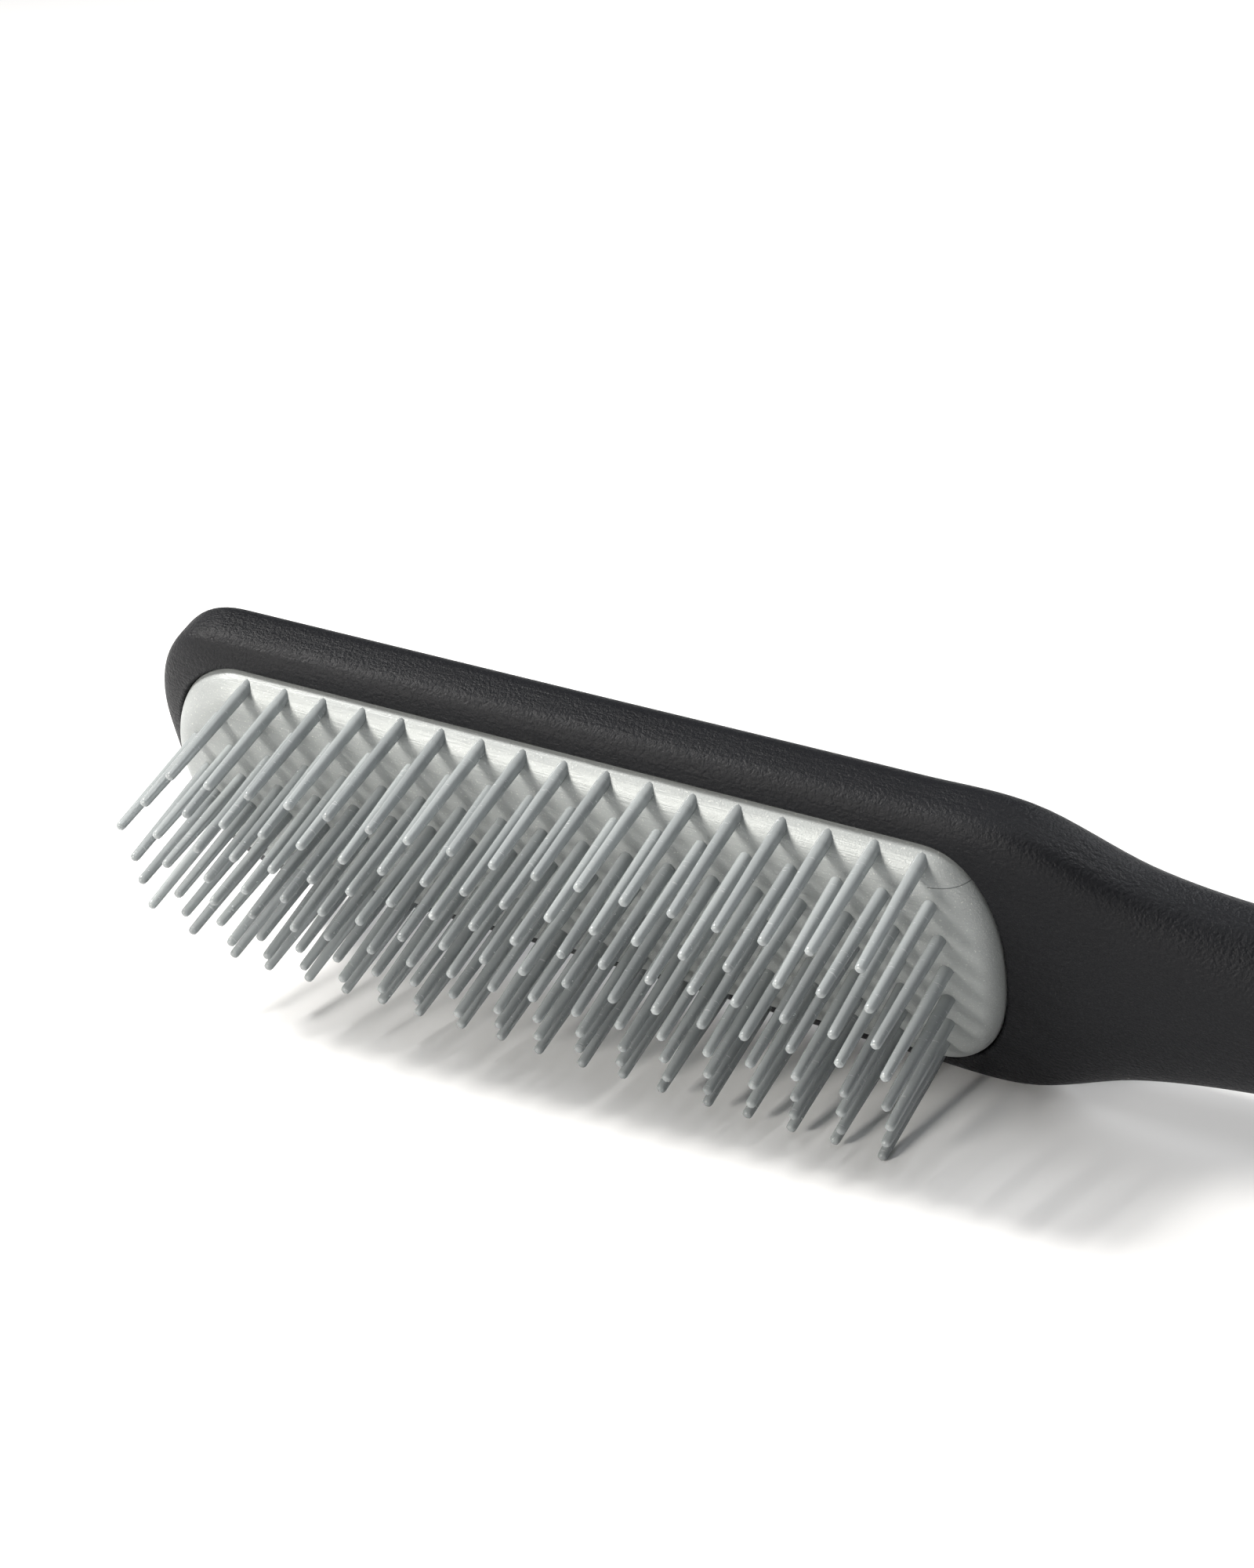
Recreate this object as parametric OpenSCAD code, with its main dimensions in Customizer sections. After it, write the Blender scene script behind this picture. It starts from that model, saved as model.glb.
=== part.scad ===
// Pinned colour-blending brush, lying on its side as it rests on a bench.
// Brush frame of every sub-part: X along the handle towards its butt, Y across the
// head, Z out of the pins, with zero at the crown of the pad over the pin field's middle.
// at_rest() then lays that frame on the bench.

/* [Pins] */
// Distance between rows
row_pitch = 4; // [3.8:0.05:4]
// Distance between pins along a row
pin_pitch = 5; // [4.8:0.05:5]
// Pins in the two outer rows; the next rows have one more, and the middle ones two more
outer_pins = 17; // [8:1:17]
// Length of a middle pin above the crown of the pad
pin_length = 15; // [10:0.5:18]
// Radius of a pin at its root
pin_root_r = 0.75; // [0.6:0.05:0.8]
// Radius of a pin at its tip
pin_tip_r = 0.54; // [0.3:0.02:0.6]

/* [Pad] */
// Half of the pad's width
pad_half_w = 15.1; // [15.1:0.1:15.6]
// Radius of the pad's crown across its width
crown_r = 53.8; // [45:0.2:80]

/* [Head] */
// Half of the head's width over the rim
head_half_w = 18.5; // [18:0.1:20]
// Thickness of the head behind its widest line
head_back_t = 6; // [5.6:0.1:6.6]

/* [Handle] */
// Distance from the pad's middle to the butt of the handle
butt_x = 165; // [156:1:190]
// Half of the neck's width at its slimmest
neck_half_w = 9.9; // [9:0.1:12]
// Thickness of the soft sleeve over the rigid core
sleeve_t = 1.2; // [0.8:0.1:1.6]

/* [Hidden] */

// Fit between parts that only touch
gap = 0.05;

// Rows of pins across the pad, one node to a row
rows = 8;

// Pins: the outer rows of each column stand back from the middle ones, and are shorter
column_bow = 0.015;
tip_drop = 0.014;
middle_column = 8;
tip_slim_at = 0.45;
shank_taper = 0.45;

// Pad
// Each end: [-1 or 1, middle of its curve, length, squareness]
pad_nose = [-1, -44, 11.5, 2];
pad_heel = [1, 36.8, 8.1, 2.3];
pad_edge_z = -3.8;
roll_over = 0.02;
pad_bottom_z = -6;
shoulder_y = 12;
shoulder_drop = 2.6;
outline_steps = 20;

// Strips that carry the pins, in the tray under the pad
strip_w = 1.9;
strip_t = 1.2;
strip_end = 1.2;
tray_z = pad_bottom_z - strip_t - gap;
core_step = 3;

// Taller than anything that a cutting or trimming block has to clear
clear_h = 20;

// Body stations: [x, half width, top and back thickness from the widest line, height of
// that line, squareness of the top and of the back]
widest_z = -8.2;
deck_t = 5;
head_nose_x = -47;
head_nose_l = 11.2;
nose_plan = 2.4;
nose_deck = 0.3;
nose_back = 0.45;
nose_from = 6;
butt_l = 10;
butt_plan = 0.8;
butt_lift = 0.7;
butt_to = 80;
stations = [
    [head_nose_x, head_half_w, deck_t, head_back_t, widest_z, 5, 2.5],
    [0, head_half_w, deck_t, head_back_t, widest_z, 5, 2.5],
    [34, head_half_w, deck_t, head_back_t, widest_z, 5, 2.5],
    [46, head_half_w - 0.4, deck_t, head_back_t + 0.1, widest_z, 5, 2.5],
    [58, head_half_w - 5.4, 4.9, 6.2, widest_z, 3.5, 2.4],
    [70, neck_half_w + 0.8, 5.8, 6.4, -8.6, 2.5, 2.3],
    [84, neck_half_w + 0.1, 6.6, 6.6, -9.1, 2.2, 2.2],
    [110, neck_half_w + 0.8, 7.4, 7.4, -9.3, 2.2, 2.2],
    [140, neck_half_w + 1.5, 7.8, 7.8, -9.3, 2.2, 2.2],
    [butt_x - butt_l, neck_half_w + 1.2, 7.4, 7.4, -9.1, 2.2, 2.2]
];
ring_sides = 40;
ring_step = 6;
nose_rings = 7;

// Rest: the pins lean down and the handle dips until the flank of the head, the lowest
// pins and the butt meet the bench together, with the brush's box over the origin
lean = 13.9;
dip = 3.94;
rest_shift = [-53.35, -0.8, 19.436];

// ---------- rest pose ----------

module at_rest() {
    translate(rest_shift)
        rotate([90 + lean, dip, 0])
            children();
}

// ---------- curves ----------

function power(v, n) = sign(v) * pow(abs(v), n);
function lerp(a, b, t) = a + (b - a) * t;

// Cubic through the stations: value number k of the station list at x
function segment(x, i = 0) =
    (i >= len(stations) - 2 || x < stations[i + 1][0]) ? i : segment(x, i + 1);
function slope(i, k) =
    let (a = stations[max(0, i - 1)], b = stations[min(len(stations) - 1, i + 1)])
    (b[k] - a[k]) / (b[0] - a[0]);
function blend(x, k) =
    let (
        i = segment(x),
        p = stations[i],
        q = stations[i + 1],
        h = q[0] - p[0],
        u = (x - p[0]) / h
    )
    (2 * u ^ 3 - 3 * u ^ 2 + 1) * p[k] + (u ^ 3 - 2 * u ^ 2 + u) * h * slope(i, k)
    + (3 * u ^ 2 - 2 * u ^ 3) * q[k] + (u ^ 3 - u ^ 2) * h * slope(i + 1, k);

// One rounded ring of the body at x, shrunk by inset on every side
function ring(x, half_w, top, back, z, top_square, back_square, inset) = [
    for (k = [0 : ring_sides - 1])
        let (
            a = 360 * k / ring_sides,
            t = a <= 180 ? top : back,
            square = a <= 180 ? top_square : back_square
        )
        [
            x,
            (half_w - inset) * power(cos(a), 2 / square),
            z + (t - inset) * power(sin(a), 2 / square)
        ]
];
function station_ring(x, inset) =
    ring(x, blend(x, 1), blend(x, 2), blend(x, 3), blend(x, 4), blend(x, 5), blend(x, 6), inset);

function shrunk(size, share, inset) = inset + (size - inset) * share;
function nose_ring(a, inset) =
    let (s = stations[0])
    ring(
        head_nose_x - (head_nose_l - inset) * power(cos(a), 2 / nose_plan),
        shrunk(s[1], power(sin(a), 2 / nose_plan), inset),
        shrunk(s[2], power(sin(a), nose_deck), inset),
        shrunk(s[3], power(sin(a), nose_back), inset),
        s[4], s[5], s[6], inset
    );
function butt_ring(a, inset) =
    let (s = stations[len(stations) - 1])
    ring(
        s[0] + (butt_l - inset) * sin(a),
        shrunk(s[1], power(cos(a), butt_plan), inset),
        shrunk(s[2], power(cos(a), butt_lift), inset),
        shrunk(s[3], power(cos(a), butt_lift), inset),
        s[4], s[5], s[6], inset
    );

function body_rings(inset) = concat(
    [for (k = [0 : nose_rings - 1]) nose_ring(lerp(nose_from, 90, k / nose_rings), inset)],
    [for (x = [head_nose_x : ring_step : stations[len(stations) - 1][0] - 1]) station_ring(x, inset)],
    [for (k = [0 : nose_rings]) butt_ring(butt_to * k / nose_rings, inset)]
);

// Closed skin over a list of rings
module loft(rings) {
    sides = len(rings[0]);
    last = len(rings) - 1;
    polyhedron(
        points = [for (r = rings) each r],
        faces = concat(
            [[for (k = [0 : sides - 1]) k]],
            [
                for (r = [0 : last - 1], k = [0 : sides - 1])
                    let (a = r * sides + k, b = r * sides + (k + 1) % sides)
                    each [[a, a + sides, b], [b, a + sides, b + sides]]
            ],
            [[for (k = [sides - 1 : -1 : 0]) last * sides + k]]
        )
    );
}

// ---------- pad outline ----------

function pad_outline(grow) = [
    for (end = [pad_heel, pad_nose], k = [0 : outline_steps])
        let (a = end[0] * (90 - 180 * k / outline_steps))
        [
            end[1] + end[0] * (end[2] + grow) * power(cos(a), 2 / end[3]),
            (pad_half_w + grow) * power(sin(a), 2 / end[3])
        ]
];

// Height of the pad's face across it, and how far its ends roll down
function shoulder(d) = d <= 0 ? 0 : shoulder_drop * (1 - sqrt(max(0, 1 - d * d)));
function pad_z(y) =
    -(crown_r - sqrt(crown_r ^ 2 - y ^ 2))
    - shoulder((abs(y) - shoulder_y) / (pad_half_w - shoulder_y));

module pad_section() {
    polygon(concat(
        [[-pad_half_w - 1, pad_bottom_z]],
        [
            for (k = [-20 : 20])
                let (y = pad_half_w * k / 20)
                [y, pad_z(y)]
        ],
        [[pad_half_w + 1, pad_bottom_z]]
    ));
}

module pad_side() {
    polygon(concat(
        [[pad_nose[1] - pad_nose[2] - 1, pad_bottom_z]],
        [for (k = [8 : -1 : 0]) pad_roll(pad_nose, 90 * k / 8)],
        [for (k = [0 : 8]) pad_roll(pad_heel, 90 * k / 8)],
        [[pad_heel[1] + pad_heel[2] + 1, pad_bottom_z]]
    ));
}
function pad_roll(end, a) =
    [end[1] + end[0] * (end[2] + roll_over) * sin(a), pad_edge_z * (1 - cos(a))];

// ---------- pins ----------

function row_y(r) = ((rows + 1) / 2 - r) * row_pitch;
function rows_in(r) = min(r, rows + 1 - r) - 1;
function first_pin(r) = middle_column + 1 - outer_pins - min(2, rows_in(r));
function pin_x(r, i) = i * pin_pitch - column_bow * row_y(r) ^ 2;
function tip_z(r) = pin_length - tip_drop * row_y(r) ^ 2;

// One pin from the strip to its rounded tip
module pin(top) {
    rotate_extrude($fn = 16)
        polygon(concat(
            [[0, pad_bottom_z], [pin_root_r, pad_bottom_z], [pin_root_r, 0]],
            [[lerp(pin_root_r, pin_tip_r, shank_taper), top * tip_slim_at], [pin_tip_r, top - pin_tip_r]],
            [for (a = [30, 60]) [pin_tip_r * cos(a), top - pin_tip_r + pin_tip_r * sin(a)]],
            [[0, top]]
        ));
}

module pin_row(r) {
    color("lightsteelblue")
        at_rest() {
            start = pin_x(r, first_pin(r)) - strip_end;
            finish = pin_x(r, middle_column) + strip_end;
            translate([start, row_y(r) - strip_w / 2, pad_bottom_z - strip_t])
                cube([finish - start, strip_w, strip_t]);
            for (i = [first_pin(r) : middle_column])
                translate([pin_x(r, i), row_y(r), 0])
                    pin(tip_z(r));
        }
}

// ---------- sub-parts ----------

module tray(grow) {
    translate([0, 0, tray_z])
        linear_extrude(clear_h)
            polygon(pad_outline(grow));
}

// Rigid core: the flat plate under the pin strips, and the spine of the handle
module core_shape() {
    difference() {
        loft(body_rings(sleeve_t));
        tray(core_step);
    }
}
module handle_core() {
    color("dimgray")
        at_rest()
            core_shape();
}

// Soft-touch sleeve moulded over the core, open where the pad shows
module soft_sleeve() {
    color([0.09, 0.09, 0.1])
        at_rest()
            difference() {
                loft(body_rings(0));
                core_shape();
                tray(gap);
            }
}

// Domed elastic pad, with a hole for every pin
module pin_pad() {
    color("silver")
        at_rest()
            difference() {
                intersection() {
                    translate([0, 0, pad_bottom_z])
                        linear_extrude(clear_h)
                            polygon(pad_outline(0));
                    translate([pad_nose[1] - clear_h, 0, 0])
                        rotate([90, 0, 90])
                            linear_extrude(pad_heel[1] - pad_nose[1] + 2 * clear_h)
                                pad_section();
                    translate([0, pad_half_w + 2, 0])
                        rotate([90, 0, 0])
                            linear_extrude(2 * pad_half_w + 4)
                                pad_side();
                }
                for (r = [1 : rows], i = [first_pin(r) : middle_column])
                    translate([pin_x(r, i), row_y(r), pad_bottom_z - 1])
                        cylinder(h = clear_h, r = pin_root_r + gap, $fn = 32);
            }
}

soft_sleeve();
handle_core();
pin_pad();
pin_row(1);  // pin_row_1
pin_row(2);  // pin_row_2
pin_row(3);  // pin_row_3
pin_row(4);  // pin_row_4
pin_row(5);  // pin_row_5
pin_row(6);  // pin_row_6
pin_row(7);  // pin_row_7
pin_row(8);  // pin_row_8
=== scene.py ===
"""Pinned colour-blending brush on a bench: the looks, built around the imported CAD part."""
import math

import bmesh
import bpy
import numpy as np
from mathutils import Matrix, Vector


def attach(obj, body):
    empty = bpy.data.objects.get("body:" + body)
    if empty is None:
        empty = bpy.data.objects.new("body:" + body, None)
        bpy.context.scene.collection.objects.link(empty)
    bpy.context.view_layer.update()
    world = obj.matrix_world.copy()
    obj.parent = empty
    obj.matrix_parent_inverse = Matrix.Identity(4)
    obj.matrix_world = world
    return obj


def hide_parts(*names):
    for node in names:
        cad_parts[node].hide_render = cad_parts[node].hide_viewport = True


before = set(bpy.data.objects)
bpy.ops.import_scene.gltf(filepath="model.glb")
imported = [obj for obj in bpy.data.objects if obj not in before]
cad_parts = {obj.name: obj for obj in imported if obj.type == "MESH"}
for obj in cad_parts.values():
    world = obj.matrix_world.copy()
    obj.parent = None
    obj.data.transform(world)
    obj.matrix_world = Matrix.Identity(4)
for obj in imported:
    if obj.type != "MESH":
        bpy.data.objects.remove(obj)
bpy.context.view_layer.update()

# ---------- soft-touch sleeve ----------
# Black thermoplastic elastomer moulded over the rigid core in one skin, from the nose of the
# head to the butt of the handle, with an opening whose rolled lip holds the pad.

# The brush's own millimetres: X to the butt, Y across the head, Z out of the pins, zero at the
# crown of the pad
PAD_HALF_W = 15.1
PAD_ENDS = {-1: (-44.0, 11.5, 2.0), 1: (36.8, 8.1, 2.3)}  # middle, length, squareness
TRAY_Z, FIT = -7.25, 0.05
HEAD_HALF_W, DECK_T, HEAD_BACK_T, WIDEST_Z = 18.5, 5.0, 6.0, -8.2
NOSE_X, NOSE_L, BUTT_X, BUTT_L, NECK_HALF_W = -47.0, 11.2, 165.0, 10.0, 9.9
# x, half width, top and back thickness, height of the widest line, squareness of top and back
BODY_STATIONS = (
    (NOSE_X, HEAD_HALF_W, DECK_T, HEAD_BACK_T, WIDEST_Z, 5, 2.5),
    (0, HEAD_HALF_W, DECK_T, HEAD_BACK_T, WIDEST_Z, 5, 2.5),
    (34, HEAD_HALF_W, DECK_T, HEAD_BACK_T, WIDEST_Z, 5, 2.5),
    (46, HEAD_HALF_W - 0.4, DECK_T, HEAD_BACK_T + 0.1, WIDEST_Z, 5, 2.5),
    (58, HEAD_HALF_W - 5.4, 4.9, 6.2, WIDEST_Z, 3.5, 2.4),
    (70, NECK_HALF_W + 0.8, 5.8, 6.4, -8.6, 2.5, 2.3),
    (84, NECK_HALF_W + 0.1, 6.6, 6.6, -9.1, 2.2, 2.2),
    (110, NECK_HALF_W + 0.8, 7.4, 7.4, -9.3, 2.2, 2.2),
    (140, NECK_HALF_W + 1.5, 7.8, 7.8, -9.3, 2.2, 2.2),
    (BUTT_X - BUTT_L, NECK_HALF_W + 1.2, 7.4, 7.4, -9.1, 2.2, 2.2),
)
# How fast width, top and back close at the nose and the butt
NOSE_SPREAD, NOSE_POWERS = 1.2, (2 / 2.4, 0.3, 0.45)
BUTT_POWERS = (0.8, 0.7, 0.7)
LIP_R = 0.45
LIP_TURN = [math.radians(t) for t in (-30, -8, 14, 36, 58, 76, 90)]
SEAM_AT, SEAM_HIGH, SEAM_WIDE = -34.0, 0.09, 2.6
RING_HALF, NOSE_RINGS, HANDLE_RINGS, BUTT_RINGS = 56, 9, 75, 16
END_STEPS, END_SPREAD, SIDE_STEPS = 22, 1.15, 54


def signed_power(value, exponent):
    return math.copysign(abs(value) ** exponent, value)


def body_at(x):
    """Half width, top and back thickness, widest line's height and both squarenesses at x."""
    first, last = BODY_STATIONS[0], BODY_STATIONS[-1]
    if x < NOSE_X:
        cosine = min(1.0, (NOSE_X - x) / NOSE_L) ** NOSE_SPREAD
        sine = math.sqrt(max(0.0, 1 - cosine * cosine))
        return *(first[k + 1] * sine**power for k, power in enumerate(NOSE_POWERS)), *first[4:]
    if x >= last[0]:
        sine = min(1.0, (x - last[0]) / BUTT_L)
        cosine = math.sqrt(1 - sine * sine)
        return *(last[k + 1] * cosine**power for k, power in enumerate(BUTT_POWERS)), *last[4:]
    i = max(k for k in range(len(BODY_STATIONS) - 1) if x >= BODY_STATIONS[k][0])
    p, q = BODY_STATIONS[i], BODY_STATIONS[i + 1]
    before = BODY_STATIONS[max(0, i - 1)]
    after = BODY_STATIONS[min(len(BODY_STATIONS) - 1, i + 2)]
    span = q[0] - p[0]
    u = (x - p[0]) / span
    found = []
    for k in range(1, len(p)):
        leave = (q[k] - before[k]) / (q[0] - before[0])
        arrive = (after[k] - p[k]) / (after[0] - p[0])
        found.append(
            (2 * u**3 - 3 * u**2 + 1) * p[k]
            + (u**3 - 2 * u**2 + u) * span * leave
            + (3 * u**2 - 2 * u**3) * q[k]
            + (u**3 - u**2) * span * arrive
        )
    return tuple(found)


def pad_point(step, grow, share=1.0):
    """A point of the pad's outline: step is (which end, angle) or (None, x)."""
    end, value = step
    if end is None:
        return value, (PAD_HALF_W + grow) * share
    middle, length, square = PAD_ENDS[end]
    return (
        middle + end * (length + grow) * share * signed_power(math.cos(value), 2 / square),
        (PAD_HALF_W + grow) * share * abs(math.sin(value)) ** (2 / square),
    )


END_ANGLES = [math.pi / 2 * (k / END_STEPS) ** END_SPREAD for k in range(END_STEPS + 1)]
OUTLINE = (
    [(-1, a) for a in END_ANGLES[:-1]]
    + [(None, x) for x in np.linspace(PAD_ENDS[-1][0], PAD_ENDS[1][0], SIDE_STEPS)]
    + [(1, a) for a in reversed(END_ANGLES[:-1])]
)


def body_ring(x, rim_y):
    """One ring of the sleeve, from the lip at +rim_y down round the back to the lip at -rim_y."""
    half_w, top, back, middle, top_square, back_square = body_at(x)
    if half_w < 1e-6:
        return [(x, 0.0, middle)] * (2 * RING_HALF + 1)
    start = math.acos(min(1.0, rim_y / half_w) ** (top_square / 2))
    ring = []
    for k in range(2 * RING_HALF + 1):
        turn = start - (math.pi + 2 * start) * k / (2 * RING_HALF)
        upper = math.sin(turn) > 0
        thick, square = (top, top_square) if upper else (back, back_square)
        seam = min(abs(math.degrees(turn) - SEAM_AT), abs(math.degrees(turn) + 180 + SEAM_AT))
        proud = 1 + SEAM_HIGH * math.exp(-((seam / SEAM_WIDE) ** 2)) / half_w
        ring.append((
            x,
            half_w * proud * signed_power(math.cos(turn), 2 / square),
            middle + thick * signed_power(math.sin(turn), 2 / square),
        ))
    return ring


def add_row(points, row):
    """The row's points onto the list, and their numbers."""
    points.extend(row)
    return list(range(len(points) - len(row), len(points)))


def join_rows(faces, row, following, flip=False):
    for k in range(len(row) - 1):
        face = (row[k], row[k + 1], following[k + 1], following[k])
        faces.append(face[::-1] if flip else face)


def mesh_of(name, points, faces):
    """A closed mesh whose doubles are merged and whose faces point outwards."""
    mesh = bpy.data.meshes.new(name)
    mesh.from_pydata(points, [], faces)
    shape = bmesh.new()
    shape.from_mesh(mesh)
    bmesh.ops.remove_doubles(shape, verts=shape.verts, dist=1e-4)
    bmesh.ops.dissolve_degenerate(shape, edges=shape.edges, dist=1e-5)
    bmesh.ops.recalc_face_normals(shape, faces=shape.faces)
    if shape.calc_volume(signed=True) < 0:
        bmesh.ops.reverse_faces(shape, faces=shape.faces)
    shape.to_mesh(mesh)
    shape.free()
    return mesh


def sleeve_mesh():
    """The body's rings from nose to butt, and the lip and the pocket in its opening."""
    points, faces = [], []
    lip = FIT + LIP_R * (1 - math.sin(LIP_TURN[0]))
    rims = [pad_point(step, lip) for step in OUTLINE]
    tip_x, first_x, last_x = NOSE_X - NOSE_L, rims[0][0], rims[-1][0]
    butt_from = BUTT_X - BUTT_L
    stops = [(tip_x + (first_x - tip_x) * (k / NOSE_RINGS) ** 2, 0) for k in range(NOSE_RINGS)]
    stops += rims
    stops += [(x, 0) for x in np.linspace(last_x, butt_from, HANDLE_RINGS + 1)[1:]]
    for k in range(1, BUTT_RINGS + 1):
        stops.append((butt_from + BUTT_L * math.sin(math.pi / 2 * k / BUTT_RINGS), 0))
    rows = [add_row(points, body_ring(x, rim_y)) for x, rim_y in stops]
    for row, following in zip(rows, rows[1:]):
        join_rows(faces, row, following)
    pocket_rows = rows[NOSE_RINGS:NOSE_RINGS + len(rims)]
    loops = []
    for side, edge in ((1, 0), (-1, -1)):
        around = [[row[edge] for row in pocket_rows]]
        heights = [points[k][2] for k in around[0]]
        for turn in LIP_TURN[1:]:
            grow = FIT + LIP_R * (1 - math.sin(turn))
            drop = LIP_R * (math.cos(turn) - math.cos(LIP_TURN[0]))
            loop = [pad_point(step, grow) for step in OUTLINE]
            around.append(add_row(
                points, [(x, side * y, z + drop) for (x, y), z in zip(loop, heights)]))
        floor = [pad_point(step, FIT) for step in OUTLINE]
        around.append(add_row(points, [(x, side * y, TRAY_Z - FIT) for x, y in floor]))
        for row, following in zip(around, around[1:]):
            join_rows(faces, row, following, flip=side > 0)
        loops.append(around[-1])
    join_rows(faces, loops[0], loops[1])
    return mesh_of("sleeve", points, faces)


# The brush leans on its flank, its lowest pins and its butt on the bench
LEAN, DIP = math.radians(13.9), math.radians(3.94)
REST_SHIFT = (-53.35, -0.8, 19.436)
METRES = 0.001
AT_REST = (
    Matrix.Scale(METRES, 4)
    @ Matrix.Translation(REST_SHIFT)
    @ Matrix.Rotation(DIP, 4, "Y")
    @ Matrix.Rotation(math.radians(90) + LEAN, 4, "X")
)


def hollowed(solid, filling):
    """The solid as a skin: what fills it is taken out of it, in the brush's millimetres."""
    inner = filling.data.copy()
    inner.transform(AT_REST.inverted() @ filling.matrix_world)
    shape = bmesh.new()
    shape.from_mesh(inner)
    bmesh.ops.remove_doubles(shape, verts=shape.verts, dist=1e-3)
    bmesh.ops.recalc_face_normals(shape, faces=shape.faces)
    shape.to_mesh(inner)
    shape.free()
    skin, core_copy = (bpy.data.objects.new("carving", mesh) for mesh in (solid, inner))
    for item in (skin, core_copy):
        bpy.context.scene.collection.objects.link(item)
    cut = skin.modifiers.new("cavity", "BOOLEAN")
    cut.operation, cut.solver, cut.object = "DIFFERENCE", "EXACT", core_copy
    found = bpy.data.meshes.new_from_object(
        skin.evaluated_get(bpy.context.evaluated_depsgraph_get()))
    for item in (skin, core_copy):
        bpy.data.objects.remove(item)
    return found


def lay_down(name, mesh, material, slot, *nodes):
    """The finished mesh as a piece of the brush, lying on the bench in place of its CAD nodes."""
    mesh.transform(AT_REST)
    mesh.materials.clear()
    mesh.materials.append(material)
    mesh.polygons.foreach_set("use_smooth", [True] * len(mesh.polygons))
    piece = bpy.data.objects.new(name, mesh)
    bpy.context.scene.collection.objects.link(piece)
    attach(piece, "root")
    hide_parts(*nodes)
    return piece


class Graph:
    """A node tree's socket that takes part in sums: each operator adds its Math node."""

    def __init__(self, tree, socket=None):
        self.tree, self.socket = tree, socket

    def node(self, kind, out=0, sockets=None, curve=None, **settings):
        """One node: its settings first, then the values or links of its sockets."""
        made = self.tree.nodes.new(kind)
        for key, value in settings.items():
            setattr(made, key, value)
        if curve:
            points = made.mapping.curves[0].points
            while len(points) < len(curve):
                points.new(0.5, 0.5)
            for point, place in zip(points, curve):
                point.location, point.handle_type = place, "VECTOR"
            made.mapping.update()
        for key, value in (sockets or {}).items():
            if isinstance(value, Graph):
                self.tree.links.new(value.socket, made.inputs[key])
            else:
                made.inputs[key].default_value = value
        return Graph(self.tree, made.outputs[out] if len(made.outputs) else None)

    def other(self, out):
        """Another output of the same node."""
        return Graph(self.tree, self.socket.node.outputs[out])

    def maths(self, operation, a, b=0.0):
        return self.node("ShaderNodeMath", sockets={0: a, 1: b}, operation=operation)

    def __add__(self, other):
        return self.maths("ADD", self, other)

    def __sub__(self, other):
        return self.maths("SUBTRACT", self, other)

    def __rsub__(self, other):
        return self.maths("SUBTRACT", other, self)

    def __mul__(self, other):
        return self.maths("MULTIPLY", self, other)

    def __gt__(self, other):
        return self.maths("GREATER_THAN", self, other)

    def __abs__(self):
        return self.maths("ABSOLUTE", self)

    __radd__, __rmul__ = __add__, __mul__


def finish_of(name):
    """A new material: its graph, and its shader's node."""
    material = bpy.data.materials.new(name)
    material.use_nodes = True
    shader = material.node_tree.nodes["Principled BSDF"]
    return material, Graph(material.node_tree), shader


def set_shader(graph, shader, **values):
    """Colours and numbers onto the shader's sockets, as constants or as links."""
    for key, value in values.items():
        socket = shader.inputs[key.replace("_", " ")]
        if isinstance(value, Graph):
            graph.tree.links.new(value.socket, socket)
        else:
            socket.default_value = value


def object_place(graph):
    return graph.node("ShaderNodeTexCoord", out=3)


def own_mm(graph, stretch=(1, 1, 1)):
    """The brush's own millimetres, found back from where it lies, and stretched."""
    own = graph.node(
        "ShaderNodeMapping",
        sockets={
            "Vector": object_place(graph),
            "Location": [METRES * v for v in REST_SHIFT],
            "Rotation": (math.radians(90) + LEAN, DIP, 0),
            "Scale": (METRES, METRES, METRES),
        },
        vector_type="TEXTURE",
    )
    return graph.node("ShaderNodeMapping", sockets={"Vector": own, "Scale": stretch})


def noise(graph, place, scale, detail=3.0, rough=0.5):
    return graph.node(
        "ShaderNodeTexNoise",
        sockets={"Vector": place, "Scale": scale, "Detail": detail, "Roughness": rough},
    )


def mixed(graph, share, a, b):
    """Colour a at 0 to colour b at 1."""
    return graph.node(
        "ShaderNodeMix", out=2, sockets={0: share, 6: a, 7: b}, data_type="RGBA"
    )


def stepped(graph, value, low, high):
    """0 below low, 1 above high, and smooth between."""
    return graph.node(
        "ShaderNodeMapRange",
        sockets={0: value, 1: low, 2: high, 3: 0.0, 4: 1.0},
        interpolation_type="SMOOTHSTEP",
    )


def bumped(graph, height, strength, distance):
    return graph.node(
        "ShaderNodeBump",
        sockets={"Height": height, "Strength": strength, "Distance": distance},
    )


# Matt black with a fine grain, faint flow lines along the brush and rare pale specks of dust
BLACK, BLACK_WORN = (0.0052, 0.0055, 0.0068, 1), (0.0076, 0.008, 0.0096, 1)
DUST_COLOUR, DUST_PER_MM, DUST_RARE = (0.42, 0.41, 0.39, 1), 0.42, 0.93

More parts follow.
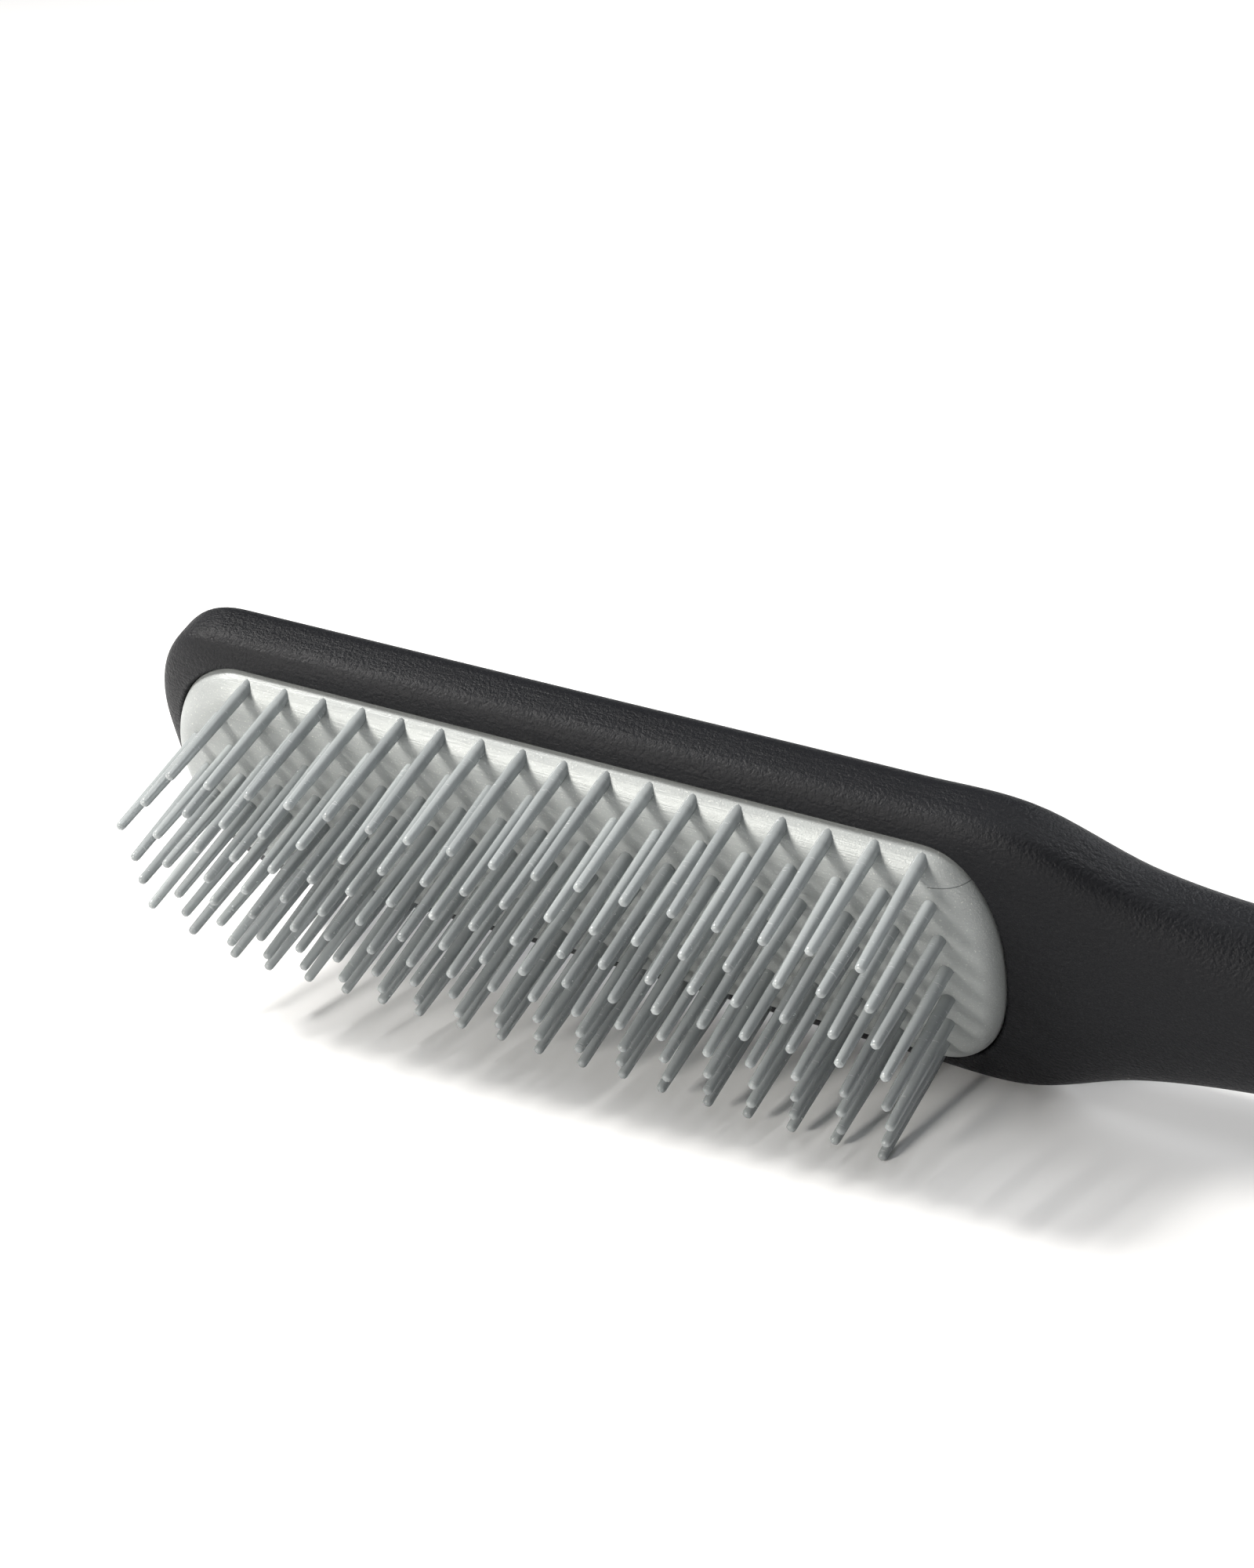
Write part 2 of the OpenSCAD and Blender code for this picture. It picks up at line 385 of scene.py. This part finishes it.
soft_touch, graph, shader = finish_of("soft_touch")
place = own_mm(graph)
grain = noise(graph, place, 2.7, 3, 0.6)
flow = noise(graph, own_mm(graph, (0.05, 1, 1)), 1.5, 3, 0.6)
mottle = noise(graph, place, 0.09, 2)
cells = graph.node("ShaderNodeTexVoronoi", sockets={"Vector": place, "Scale": DUST_PER_MM})
picked = graph.node("ShaderNodeSeparateColor", sockets={0: cells.other(1)}) > DUST_RARE
dust = (1 - stepped(graph, cells, 0.03, 0.07)) * picked
base = mixed(graph, mottle, BLACK, BLACK_WORN)
set_shader(
    graph, shader,
    Base_Color=mixed(graph, dust * 0.55, base, DUST_COLOUR),
    Roughness=stepped(graph, grain, 0.2, 0.8) * 0.16 + 0.38 + dust * 0.3,
    Normal=bumped(graph, grain + flow * 0.5 + dust * 1.5, 0.9, 0.0002),
    Specular_IOR_Level=0.15,
)
sleeve = hollowed(sleeve_mesh(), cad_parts["handle_core"])
lay_down("sleeve", sleeve, soft_touch, "soft_touch", "soft_sleeve")


# ---------- rigid core ----------
# Moulded polypropylene: the plate under the pin strips and the spine of the handle. The sleeve
# is moulded over it, so nothing of it shows.

CORE_DARK, CORE_LIGHT = (0.05, 0.05, 0.055, 1), (0.07, 0.07, 0.075, 1)

core_plastic, graph, shader = finish_of("core_plastic")
place = own_mm(graph)
grain = noise(graph, place, 1.5, 3)
set_shader(
    graph, shader,
    Base_Color=mixed(graph, noise(graph, place, 0.06, 2), CORE_DARK, CORE_LIGHT),
    Roughness=grain * 0.12 + 0.42,
    Normal=bumped(graph, grain, 0.12, 0.00005),
)
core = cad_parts["handle_core"]
core.data.materials.clear()
core.data.materials.append(core_plastic)


# ---------- pearl pad ----------
# One domed moulding of pearl-grey elastomer. It grips each pin, rolls over at its ends, and
# its foot drops into the opening of the sleeve.

PAD_BOTTOM_Z = -6.0
CROWN_R, SHOULDER_Y, SHOULDER_DROP, END_ROLL = 53.8, 12.0, 2.6, 1.3
PAD_SHARES = (0, 0.12, 0.25, 0.38, 0.5, 0.6, 0.69, 0.74, 0.785, 0.825, 0.86, 0.892, 0.92,
              0.945, 0.966, 0.982, 0.993, 0.9985, 1)


def pad_height(x, y, share):
    """The pad's face: crowned across, rolled down all round, and rolled more at its ends."""
    out = max(0.0, (share * PAD_HALF_W - SHOULDER_Y) / (PAD_HALF_W - SHOULDER_Y))
    past = max(0.0, *(end * (x - at[0]) / at[1] for end, at in PAD_ENDS.items()))
    return (
        -(CROWN_R - math.sqrt(CROWN_R**2 - y * y))
        - SHOULDER_DROP * (1 - math.sqrt(max(0.0, 1 - out * out)))
        - END_ROLL * past * past
    )


def pad_mesh():
    points, faces, feet = [], [], []
    for side in (1, -1):
        rows = []
        for share in PAD_SHARES:
            plan = [pad_point(step, 0, share) for step in OUTLINE]
            rows.append(add_row(
                points, [(x, side * y, pad_height(x, y, share)) for x, y in plan]))
        edge = [points[k] for k in rows[-1]]
        for part in (0.5, 1):
            rows.append(add_row(
                points, [(x, y, z + (PAD_BOTTOM_Z - z) * part) for x, y, z in edge]))
        for row, following in zip(rows, rows[1:]):
            join_rows(faces, row, following, flip=side < 0)
        feet.append(rows[-1])
    join_rows(faces, feet[0], feet[1], flip=True)
    return mesh_of("pad", points, faces)


# Pearl flakes, faint scuffs along the brush, and one fine mark past the last pin of row 1
PEARL_DARK, PEARL_LIGHT = (0.27, 0.285, 0.285, 1), (0.31, 0.325, 0.32, 1)
FLAKE, SCUFF, MARK = (0.74, 0.73, 0.7, 1), (0.13, 0.135, 0.135, 1), (0.05, 0.055, 0.06, 1)
MARK_FROM_X, MARK_Y, MARK_SLOPE, MARK_WANDER = 38.2, 10.28, 0.045, 0.25

pearl, graph, shader = finish_of("pearl_elastomer")
place = own_mm(graph)
flake = noise(graph, place, 5.2, 2)
cloud = noise(graph, place, 0.13, 3)
streak = noise(graph, own_mm(graph, (0.03, 1, 1)), 4.2, 3, 0.65)
tone = mixed(graph, cloud, PEARL_DARK, PEARL_LIGHT)
tone = mixed(graph, stepped(graph, flake, 0.6, 0.78) * 0.5, tone, FLAKE)
tone = mixed(graph, stepped(graph, streak, 0.58, 0.74) * 0.22, tone, SCUFF)
own_x = graph.node("ShaderNodeSeparateXYZ", sockets={0: place})
off_mark = abs(own_x.other(1) - own_x * MARK_SLOPE - MARK_Y - cloud * MARK_WANDER)
mark = (1 - stepped(graph, off_mark, 0.02, 0.07)) * (own_x > MARK_FROM_X)
set_shader(
    graph, shader,
    Base_Color=mixed(graph, mark * 0.75, tone, MARK),
    Metallic=0.3,
    Roughness=streak * 0.16 + flake * 0.1 + 0.33,
    Normal=bumped(graph, streak + flake * 0.6, 0.5, 0.0001),
    Specular_IOR_Level=0.5,
)
lay_down("pad", pad_mesh(), pearl, "pearl_pad", "pin_pad")


# ---------- pins ----------
# Each row is one nylon moulding: a strip in the tray under the pad, with 17 to 19 tapered,
# round-tipped pins. The translucent nylon clears towards the tips. Its colour also carries
# painted shade at the roots and a painted highlight at the tips. Each pin has a fine
# moulding line along both sides and leans a little its own way.

ROWS, ROW_PITCH, PIN_PITCH, OUTER_PINS = 8, 4.0, 5.0, 17
PIN_L, PIN_ROOT_R, PIN_TIP_R, TIP_DROP, COLUMN_BOW = 15.0, 0.75, 0.54, 0.014, 0.015
PIN_STRAIGHT = 1.5
PIN_TAPER = ((0.22, 0.715), (0.45, 0.65), (0.75, 0.58))  # share of length, radius
PIN_DOME = ((1, 1), (0.45, 0.89), (0.12, 0.53), (0, 0.14))  # below the tip, radius, in tip radii
LINE_PROUD, LINE_EDGE = 0.055, 0.99
STRIP_W, STRIP_T, STRIP_END, LAST_COLUMN = 1.9, 1.2, 1.2, 8
PIN_SIDES, PIN_LEVELS, SWAY, TINT_SEED = 12, 9, math.radians(0.9), 40
ROW_SOCKETS = (
    ("Pins", "NodeSocketInt"), ("First pin", "NodeSocketVector"), ("Pitch", "NodeSocketFloat"),
    ("Length", "NodeSocketFloat"), ("Strip size", "NodeSocketVector"),
    ("Strip middle", "NodeSocketVector"), ("Sway", "NodeSocketFloat"), ("Seed", "NodeSocketInt"),
)


def pin_tree(material):
    """Named sizes in; one row of pins on its strip out."""
    tree = bpy.data.node_groups.new("pin_row", "GeometryNodeTree")
    tree.is_modifier = True
    face = tree.interface
    face.new_socket("Geometry", in_out="OUTPUT", socket_type="NodeSocketGeometry")
    sockets = {
        name: face.new_socket(name, in_out="INPUT", socket_type=kind).identifier
        for name, kind in ROW_SOCKETS
    }
    g = Graph(tree)
    entry = tree.nodes.new("NodeGroupInput")
    given = {name: Graph(tree, entry.outputs[name]) for name in sockets}

    # A pin: a tube of set levels whose height and radius follow two curves
    tube = g.node(
        "GeometryNodeMeshCylinder",
        sockets={
            "Vertices": PIN_SIDES, "Side Segments": PIN_LEVELS, "Radius": 1.0, "Depth": 1.0},
        fill_type="TRIANGLE_FAN")
    x = g.node("ShaderNodeSeparateXYZ", sockets={0: g.node("GeometryNodeInputPosition")})
    y, level = x.other(1), x.other(2) + 0.5
    base = -PAD_BOTTOM_Z
    whole = base + PIN_L
    levels = [(0, PIN_ROOT_R), (base - PIN_STRAIGHT, PIN_ROOT_R), (base, PIN_ROOT_R)]
    levels += [(base + share * PIN_L, r) for share, r in PIN_TAPER]
    levels += [(whole - PIN_TIP_R * below, PIN_TIP_R * r) for below, r in PIN_DOME]
    up = g.node(
        "ShaderNodeFloatCurve", sockets={"Value": level},
        curve=[(k / PIN_LEVELS, height / whole) for k, (height, _) in enumerate(levels)])
    radius = g.node(
        "ShaderNodeFloatCurve", sockets={"Value": level},
        curve=[(k / PIN_LEVELS, r) for k, (_, r) in enumerate(levels)])
    line = (abs(x) > LINE_EDGE) * LINE_PROUD + 1
    shaped = g.node("GeometryNodeSetPosition", sockets={
        "Geometry": tube,
        "Position": g.node("ShaderNodeCombineXYZ", sockets={
            0: x * radius * line, 1: y * radius, 2: up * (given["Length"] + base)}),
    })
    pin = g.node(
        "GeometryNodeStoreNamedAttribute",
        sockets={"Geometry": shaped, "Name": "up_the_pin", "Value": up},
        data_type="FLOAT", domain="POINT")

    # Pins along the row, each turned and tinted a little its own way
    row = g.node(
        "GeometryNodeMeshLine",
        sockets={
            "Count": given["Pins"], "Start Location": given["First pin"],
            "Offset": g.node("ShaderNodeCombineXYZ", sockets={0: given["Pitch"]})},
        mode="OFFSET")
    sway = g.node(
        "FunctionNodeRandomValue",
        sockets={0: (-1, -1, -3), 1: (1, 1, 3), "Seed": given["Seed"]},
        data_type="FLOAT_VECTOR")
    turned = g.node(
        "ShaderNodeVectorMath", sockets={0: sway, "Scale": given["Sway"]}, operation="SCALE")
    stood = g.node("GeometryNodeInstanceOnPoints", sockets={
        "Points": row, "Instance": pin, "Rotation": turned})
    tint = g.node(
        "FunctionNodeRandomValue", out=1,
        sockets={2: 0.0, 3: 1.0, "Seed": given["Seed"] + TINT_SEED}, data_type="FLOAT")
    tinted = g.node(
        "GeometryNodeStoreNamedAttribute",
        sockets={"Geometry": stood, "Name": "pin_tint", "Value": tint},
        data_type="FLOAT", domain="INSTANCE")
    strip = g.node("GeometryNodeTransform", sockets={
        "Geometry": g.node("GeometryNodeMeshCube", sockets={"Size": given["Strip size"]}),
        "Translation": given["Strip middle"]})
    both = tree.nodes.new("GeometryNodeJoinGeometry")
    for part in (strip, tinted):
        tree.links.new(part.socket, both.inputs[0])
    real = g.node(
        "GeometryNodeRealizeInstances", sockets={"Geometry": Graph(tree, both.outputs[0])})
    done = g.node("GeometryNodeSetMaterial", sockets={"Geometry": real, "Material": material})
    tree.links.new(done.socket, tree.nodes.new("NodeGroupOutput").inputs[0])
    return tree, sockets


def pin_row(number, tree, sockets, material):
    """Row number 1 to 8 across the head, as a piece of its own."""
    y = ((ROWS + 1) / 2 - number) * ROW_PITCH
    inwards = min(number, ROWS + 1 - number) - 1
    first = LAST_COLUMN + 1 - OUTER_PINS - min(2, inwards)
    bow = COLUMN_BOW * y * y
    start, finish = first * PIN_PITCH - bow, LAST_COLUMN * PIN_PITCH - bow
    host = bpy.data.objects.new("row_host", bpy.data.meshes.new("row_host"))
    bpy.context.scene.collection.objects.link(host)
    maker = host.modifiers.new("pins", "NODES")
    maker.node_group = tree
    for name, value in (
        ("Pins", LAST_COLUMN + 1 - first), ("First pin", (start, y, PAD_BOTTOM_Z)),
        ("Pitch", PIN_PITCH), ("Length", PIN_L - TIP_DROP * y * y),
        ("Strip size", (finish - start + 2 * STRIP_END, STRIP_W, STRIP_T)),
        ("Strip middle", ((start + finish) / 2, y, PAD_BOTTOM_Z - STRIP_T / 2)),
        ("Sway", SWAY), ("Seed", number),
    ):
        maker[sockets[name]] = value
    made = bpy.data.meshes.new_from_object(
        host.evaluated_get(bpy.context.evaluated_depsgraph_get()))
    bpy.data.objects.remove(host)
    return lay_down(f"pins_row_{number}", made, material, "pin_nylon", f"pin_row_{number}")


# Grey nylon, darker at the roots and paler at the tips: partly the nylon clearing where it thins,
# partly painted shade at the roots and a painted highlight at the tips. Darker on some pins, with
# pale nicks across them
NYLON_ROOT_SHADED, NYLON_TIP_LIT = (0.19, 0.212, 0.222, 1), (0.47, 0.5, 0.505, 1)
NYLON_DARK, NICK = (0.13, 0.145, 0.155, 1), (0.8, 0.82, 0.82, 1)

nylon, graph, shader = finish_of("pin_nylon")
up_pin = graph.node("ShaderNodeAttribute", out=2, attribute_name="up_the_pin")
tint = graph.node("ShaderNodeAttribute", out=2, attribute_name="pin_tint")
skin = noise(graph, own_mm(graph), 1.4, 3)
nick = stepped(graph, noise(graph, own_mm(graph, (1, 1, 5)), 0.9, 2), 0.66, 0.72)
# Root to tip: painted shade at the roots and a painted highlight at the tips, over the nylon's
# own clearing
tone = mixed(graph, stepped(graph, up_pin, 0.3, 1.0), NYLON_ROOT_SHADED, NYLON_TIP_LIT)
tone = mixed(graph, tint * 0.3, tone, NYLON_DARK)
set_shader(
    graph, shader,
    Base_Color=mixed(graph, nick * 0.45, tone, NICK),
    Roughness=skin * 0.1 + 0.2,
    Normal=bumped(graph, skin, 0.08, 0.00005),
    Transmission_Weight=0.45, IOR=1.45,
)
row_tree, row_sockets = pin_tree(nylon)
for number in range(1, ROWS + 1):
    pin_row(number, row_tree, row_sockets, nylon)


# ---------- bench, light and camera ----------
# A white bench under soft studio light: a large lamp over the head end, a warmer one in front,
# a broad one overhead, a weak one behind, and an even pale room.

BENCH_HALF = 4
BENCH_DARK, BENCH_LIGHT = (0.80, 0.80, 0.80, 1), (0.83, 0.83, 0.83, 1)

bench_white, graph, shader = finish_of("bench_white")
set_shader(
    graph, shader,
    Base_Color=mixed(graph, noise(graph, object_place(graph), 9, 2), BENCH_DARK, BENCH_LIGHT),
    Roughness=0.55,
)
bench_mesh = bpy.data.meshes.new("bench")
corners = [(x * BENCH_HALF, y * BENCH_HALF, 0) for x, y in ((-1, -1), (1, -1), (1, 1), (-1, 1))]
bench_mesh.from_pydata(corners, [], [(0, 1, 2, 3)])
bench_mesh.materials.append(bench_white)
bench = bpy.data.objects.new("bench", bench_mesh)
bpy.context.scene.collection.objects.link(bench)


def lamp(name, place, aim, size, power, colour):
    light = bpy.data.lights.new(name, "AREA")
    light.shape, light.size, light.energy, light.color = "DISK", size, power, colour
    holder = bpy.data.objects.new(name, light)
    holder.location = place
    holder.rotation_euler = (Vector(aim) - Vector(place)).to_track_quat("-Z", "Y").to_euler()
    bpy.context.scene.collection.objects.link(holder)


lamp("key", (-0.52, -0.04, 0.52), (-0.04, 0, 0.02), 0.16, 7.0, (1.0, 0.975, 0.94))
lamp("shoulder_strip", (-0.40, -0.72, 0.30), (-0.01, 0, 0.03), 0.22, 6.8, (1.0, 0.965, 0.91))
lamp("overhead", (0.05, -0.05, 0.9), (-0.02, 0, 0.02), 0.7, 3.0, (0.97, 0.985, 1.0))
lamp("back_fill", (0.35, 0.75, 0.45), (0, 0, 0.02), 0.4, 5.0, (0.96, 0.98, 1.0))

room = bpy.data.worlds.new("room")
room.use_nodes = True
room.node_tree.nodes["Background"].inputs["Color"].default_value = (0.93, 0.95, 1.0, 1)
room.node_tree.nodes["Background"].inputs["Strength"].default_value = 0.15
bpy.context.scene.world = room
bpy.context.scene.view_settings.view_transform = "Standard"

CAMERA_AT = Vector((0.08270, -0.21166, 0.16904))
CAMERA_AHEAD = Vector((-0.46253, 0.74527, -0.48024))
CAMERA_UP = Vector((-0.16614, 0.45921, 0.87265))
CAMERA_LENS = 63.63
camera = bpy.data.objects.new("camera", bpy.data.cameras.new("camera"))
camera.data.lens, camera.data.sensor_width = CAMERA_LENS, 36
camera.data.clip_start, camera.data.clip_end = 0.01, 20
side = CAMERA_AHEAD.cross(CAMERA_UP).normalized()
above = side.cross(CAMERA_AHEAD).normalized()
camera.matrix_world = Matrix.Translation(CAMERA_AT) @ Matrix(
    (side, above, -CAMERA_AHEAD)).transposed().to_4x4()
bpy.context.scene.collection.objects.link(camera)
bpy.context.scene.camera = camera

bpy.context.view_layer.update()
